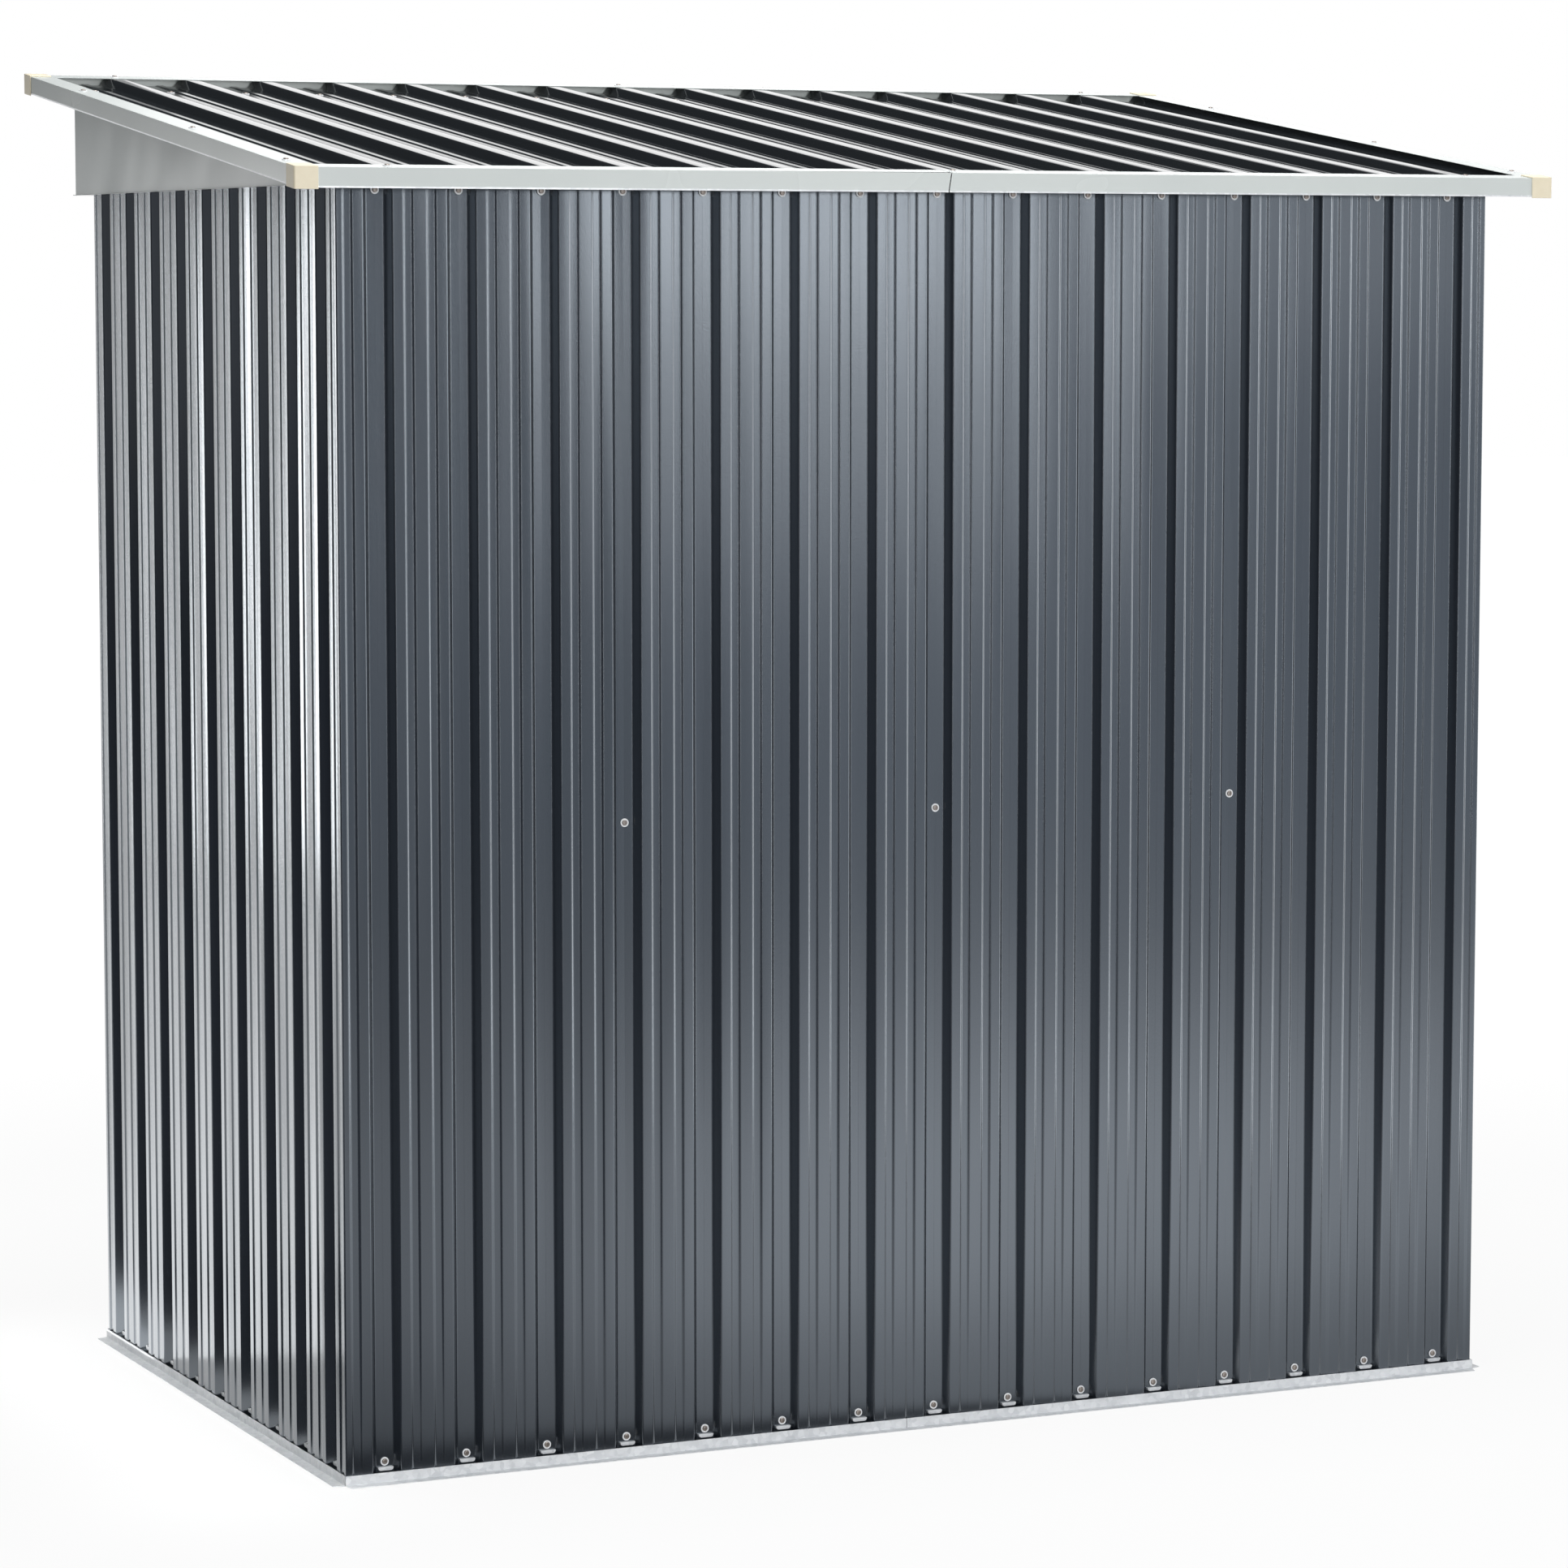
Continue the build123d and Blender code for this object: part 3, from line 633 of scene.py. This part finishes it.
def screwRow(place, count, step):
    row = copyOf(screwMaster, "row")
    if count > 1:
        applyModifier(row, "ARRAY", count=count, use_relative_offset=False, use_constant_offset=True,
                      constant_offset_displace=(-step, 0, 0))
    applyPlace(row, place)
    return row


screwMaster = makeScrew()
rows = {"bottom": 24.7 * mm, "middle": 831 * mm, "top": 1640.8 * mm}
wallRibs = {"rear": 15, "left": 9, "right": 9}
lapDepth = rolled["ribDepth"] - rolled["gauge"]
sheetCover = rolled["pitches"] * pitch
wallRows = []
for wall, ribs in wallRibs.items():
    for height in (rows["bottom"], rows["top"]):
        wallRows.append(screwRow(wallPlace(wall, 0.5 * pitch, height, lapDepth), ribs, pitch))
for wall, start, count in (("rear", 3.5, 3), ("left", 4.5, 1), ("right", 4.5, 1)):
    wallRows.append(screwRow(wallPlace(wall, start * pitch, rows["middle"], lapDepth), count, sheetCover))
for start in (0.5, 12.5):
    wallRows.append(screwRow(wallPlace("front", start * pitch, rows["bottom"], rolled["ribDepth"]), 3, pitch))
wallScrews = joinAll(wallRows, "wall_screws")
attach(wallScrews, "root")


# roof screws: in the pans over the front and rear walls, and on the trims over the ribs
def roofPlace(x, y, lift):
    top = Vector((x, y, trimHigh.z - (y - trimLow.y) * math.tan(slope))) + roofNormal * lift
    turn = Matrix.Rotation(math.pi / 2 - slope, 4, "X")
    return Matrix.Translation(top) @ turn


trimGauge = 0.8 * mm
roofRowsAt = {"pans": (-0.470, 0.487), "sideTrims": (-0.345, 0.135, 0.500), "endTrims": (-0.558, 0.558)}
panLift = -(rolled["ribDepth"] + trimGauge)
roofRows = []
for y in roofRowsAt["pans"]:
    roofRows.append(screwRow(roofPlace(7.5 * pitch, y, panLift), 16, pitch))
for x in (-8 * pitch, 8 * pitch):
    for y in roofRowsAt["sideTrims"]:
        roofRows.append(screwRow(roofPlace(x, y, 0), 1, pitch))
for y in roofRowsAt["endTrims"]:
    roofRows.append(screwRow(roofPlace(7 * pitch, y, 0), 3, 7 * pitch))
roofScrews = joinAll(roofRows, "roof_screws")
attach(roofScrews, "root")
print("wall screws set:", len(wallScrews.data.polygons), "faces")

# rail tabs: a small bright lug of the rail in each valley, under its screw
tab = {"width": 21 * mm, "height": 4.6 * mm, "depth": 6 * mm, "low": 13.6 * mm, "taper": 3.2 * mm, "ease": 0.4 * mm}
clearSelection()
bpy.ops.mesh.primitive_cube_add(size=1)
tabMaster = bpy.context.object
tabMaster.scale = (tab["width"], tab["depth"], tab["height"])
tabMaster.location = (0, tab["depth"] / 2, tab["height"] / 2)
applyPlace(tabMaster)
startEdit(tabMaster)
pick(tabMaster, "EDGE", lambda co, way: co.z < touch and abs(way.y) > tab["depth"] / 2)
bpy.ops.mesh.bevel(offset=tab["taper"], segments=2, affect="EDGES")
pick(tabMaster, "EDGE", lambda co, way: co.y > tab["depth"] - touch)
bpy.ops.mesh.bevel(offset=tab["ease"], segments=2, affect="EDGES")
endEdit()
smoothBends(tabMaster, smoothing["folded"])
tabRows = []
for wall, ribs in wallRibs.items():
    row = copyOf(tabMaster, "tabs")
    applyModifier(row, "ARRAY", count=ribs, use_relative_offset=False, use_constant_offset=True,
                  constant_offset_displace=(-pitch, 0, 0))
    applyPlace(row, wallPlace(wall, 0.5 * pitch, tab["low"], rolled["ribDepth"]))
    tabRows.append(row)
bpy.data.objects.remove(tabMaster)
railTabs = joinAll(tabRows, "rail_tabs")
dress(railTabs, "galvanised_steel")
bpy.data.objects.remove(screwMaster)
print("rail tabs set")


# stage, light and camera
stage = {"floor": 60.0, "grey": 0.34, "rough": 0.9, "sheen": 0.1, "world": 0.24, "sky": (0.95, 0.975, 1.0, 1),
         "floorGlow": 0.86, "cameraGain": 0.08, "mirrorGain": 0.15, "near": 2.0, "far": 5.0}


# how far a ray counts as direct: the camera's own, or one that a surface mirrors or lets through
def seenBy(place, camera, mirror):
    direct = place.node("LightPath", None, "Is Camera Ray") * camera
    for name in ("Is Glossy Ray", "Is Transmission Ray"):
        direct = direct.math("MAXIMUM", direct, place.node("LightPath", None, name) * mirror)
    return direct


def makeFloor():
    clearSelection()
    bpy.ops.mesh.primitive_plane_add(size=stage["floor"])
    floor = bpy.context.object
    floor.name = "studio_floor"
    material, shader, place = newMaterial("floor_pale")
    setShader(shader, place, Base_Color=[stage["grey"]] * 3 + [1], Roughness=stage["rough"],
              Specular_IOR_Level=stage["sheen"])
    # the shadow lies round the object, and the floor further off is white
    away = place.node("VectorMath", {"operation": "LENGTH"}, 1, in0=place)
    white = place.node("MapRange", None, Value=away, From_Min=stage["near"], From_Max=stage["far"],
                       To_Min=stage["floorGlow"], To_Max=1.0)
    glow = place.node("Emission", None, Color=seenBy(place, stage["cameraGain"], stage["mirrorGain"]) + 1.0)
    mixed = place.node("MixShader", None, in0=seenBy(place, white, 1.0), in1=Wire(place.tree, shader.outputs[0]),
                       in2=glow)
    place.plug(mixed, place.tree.nodes["Material Output"].inputs["Surface"])
    floor.data.materials.append(material)


# white to look at and in mirrors, and a weak cool light on everything else
def makeWorld():
    world = bpy.data.worlds.new("studio_world")
    scene.world = world
    world.use_nodes = True
    soft = world.node_tree.nodes["Background"]
    soft.inputs["Strength"].default_value = stage["world"]
    soft.inputs["Color"].default_value = stage["sky"]
    sky = Wire(world.node_tree, soft.outputs[0])
    white = sky.node("Background", None, Color=(1, 1, 1, 1))
    mixed = sky.node("MixShader", None, in0=seenBy(sky, 1.0, 1.0), in1=sky, in2=white)
    sky.plug(mixed, world.node_tree.nodes["World Output"].inputs["Surface"])


makeFloor()
makeWorld()


# cards stand or lie round the set and show only in reflections; runs paints shade and light into one
def studioCard(name, width, height, location, turn, level, runs=None):
    clearSelection()
    bpy.ops.mesh.primitive_plane_add(size=1, location=location, rotation=[math.radians(angle) for angle in turn])
    card = bpy.context.object
    card.name = name
    card.scale = (width, height, 1)
    applyPlace(card)
    material, shader, place = newMaterial(name)
    place.tree.nodes.remove(shader)
    tint = (*level, 1)
    # painted shade and painted light: the card's glow falls off in levels and in a dark wedge along the wall's foot
    if runs:
        x, y = [place.node("SeparateXYZ", None, axis, Vector=place) for axis in range(2)]
        off = y - rearFace
        away = place.node("ValToRGB", {"stops": runs["away"]}, Fac=off / runs["reach"])
        side = place.node("ValToRGB", {"stops": runs["side"]}, Fac=(x + runs["skew"] * off) / runs["width"] + 0.5)
        start = runs["wedgeStart"] + x
        along = off / start.math("MAXIMUM", start, runs["wedgeLeast"])
        wedge = place.node("MapRange", None, Value=along, From_Min=runs["wedge"][0], From_Max=runs["wedge"][1],
                           To_Min=runs["wedgeLevel"], To_Max=1.0)
        share = place.math("MULTIPLY", away, side) * wedge
        tint = place.node("VectorMath", {"operation": "SCALE"}, in0=level, Scale=share)
    glow = place.node("Emission", None, Color=tint)
    place.plug(glow, place.tree.nodes["Material Output"].inputs["Surface"])
    card.data.materials.append(material)
    card.visible_camera = False
    card.visible_diffuse = False
    card.visible_shadow = False
    card.visible_transmission = False


upright, across, flat = (90, 0, 0), (90, 0, 90), (0, 0, 0)
# the floor before the rear wall as its paint mirrors it, a painted reflection of the lit floor: levels away from the
# wall, darker next to it as painted shade, levels across it, and a dark wedge of painted shade along its foot
apron = {"reach": 4.8, "away": ((0.0, 0.44), (0.02, 0.46), (0.05, 0.50), (0.08, 0.55), (0.13, 0.66), (0.19, 0.86),
                                (0.43, 1.0), (0.80, 0.54), (1.0, 0.42)),
         "width": 1.8, "side": ((0.0, 0.84), (0.2, 0.96), (0.45, 1.0), (0.62, 0.95), (0.72, 0.80), (0.83, 0.62),
                                (0.95, 0.46)),
         "skew": 0.467, "wedgeStart": 0.85, "wedgeLeast": 0.02, "wedge": (0.08, 0.13), "wedgeLevel": 0.12}
studioCard("card_rear", 13, 7, (-5.5, 5.3, 3.5), upright, (0.52, 0.57, 0.64))
studioCard("card_left", 2.6, 7, (-0.3, 5.28, 3.5), upright, (0.30, 0.34, 0.39))
studioCard("card_corner", 11, 7, (6.5, 5.3, 3.5), upright, (0.07, 0.08, 0.10))
studioCard("card_east", 7, 7, (6.5, 1.8, 3.5), across, (0.04, 0.045, 0.055))
studioCard("card_floor", 6, 5, (3.95, 2.85, 0.004), flat, (0.10, 0.11, 0.13))
studioCard("card_apron", 5.4, 4.72, (-1.75, 2.92, 0.003), flat, (1.60, 1.64, 1.70), apron)
# painted shade: a dark card on the floor at the side wall's foot, seen only in reflections
studioCard("card_foot", 1.6, 1.4, (1.83, 0.13, 0.005), (0, 0, 18), (0.08, 0.088, 0.10))
studioCard("card_gable", 2.8, 1.8, (3.0, -5.9, 2.66), upright, (0.07, 0.073, 0.076))
studioCard("card_side", 13, 12, (4.5, -9.0, 8.4), upright, (0.035, 0.04, 0.045))


# a soft box aims at its target; an unmirrored one doesn't show in reflections
def softBox(name, location, target, width, height, watts, turn=0, mirrored=True, spread=180):
    lamp = bpy.data.lights.new(name, "AREA")
    lamp.shape = "RECTANGLE"
    lamp.size, lamp.size_y = width, height
    lamp.energy = watts
    lamp.spread = math.radians(spread)
    box = bpy.data.objects.new(name, lamp)
    scene.collection.objects.link(box)
    box.location = location
    aim = (Vector(target) - Vector(location)).to_track_quat("-Z", "Y").to_matrix()
    box.rotation_euler = (aim @ Matrix.Rotation(math.radians(turn), 3, "Z")).to_euler()
    box.visible_camera = False
    box.visible_glossy = mirrored


softBox("box_key", (1.0, 8.0, 1.7), (0, 0, 1.2), 3.5, 2.0, 262)
softBox("box_top", (0, 0.5, 6.0), (0, 0.4, 1.7), 2.0, 2.0, 230)
softBox("box_front", (0.5, -8.0, 2.5), (0, 0, 1.0), 3.0, 2.0, 80, mirrored=False)
softBox("box_wide", (-2.2, 5.2, 1.72), (-0.2, 0.5, 1.6), 4.2, 0.6, 5)
softBox("box_high", (-1.75, 5.15, 1.75), (0.2, 0.5, 1.6), 1.4, 0.5, 8.5)
softBox("box_mid", (-1.9, 5.1, 1.2), (0.1, 0.5, 1.3), 1.3, 0.55, 2.4)
softBox("box_right", (-6.3, 3.5, 1.2), (0, 0.5, 1.0), 2.4, 2.4, 42)
softBox("box_peak", (-6.2, 3.5, 1.62), (0, 0.5, 1.6), 2.4, 0.5, 10)
softBox("box_strip", (-3.65, 1.75, 0.01), (-3.65, 1.75, 2.0), 3.0, 1.0, 28)
softBox("box_side", (3.65, -6.0, 1.0), (0.84, 0.0, 1.0), 0.5, 2.0, 31)
softBox("box_corner", (5.5, 5.0, 1.8), (0.9, 0, 1.6), 3.2, 1.6, 4.2)
softBox("box_low", (1.77, -2.78, 0.01), (1.77, -2.78, 2.0), 0.42, 5.35, 9.5, -18)
softBox("box_rail", (0.98, 0, 1.1), (0.98, 0, 0), 0.25, 1.3, 1.6, mirrored=False, spread=25)
softBox("box_back", (-2.9, -7.0, 3.4), (0, 0, 1.7), 4.6, 1.3, 8)

view = {"sensor": 36, "lens": 117.17, "place": (3.010, 6.545, 1.534), "down": 5.69, "turn": 155.19, "far": 200}
camera = bpy.data.objects.new("camera", bpy.data.cameras.new("camera"))
scene.collection.objects.link(camera)
camera.data.sensor_width = view["sensor"]
camera.data.lens = view["lens"]
camera.data.clip_end = view["far"]
camera.location = view["place"]
camera.rotation_euler = (math.radians(90 - view["down"]), 0, math.radians(view["turn"]))
scene.camera = camera
print("stage, light and camera set")
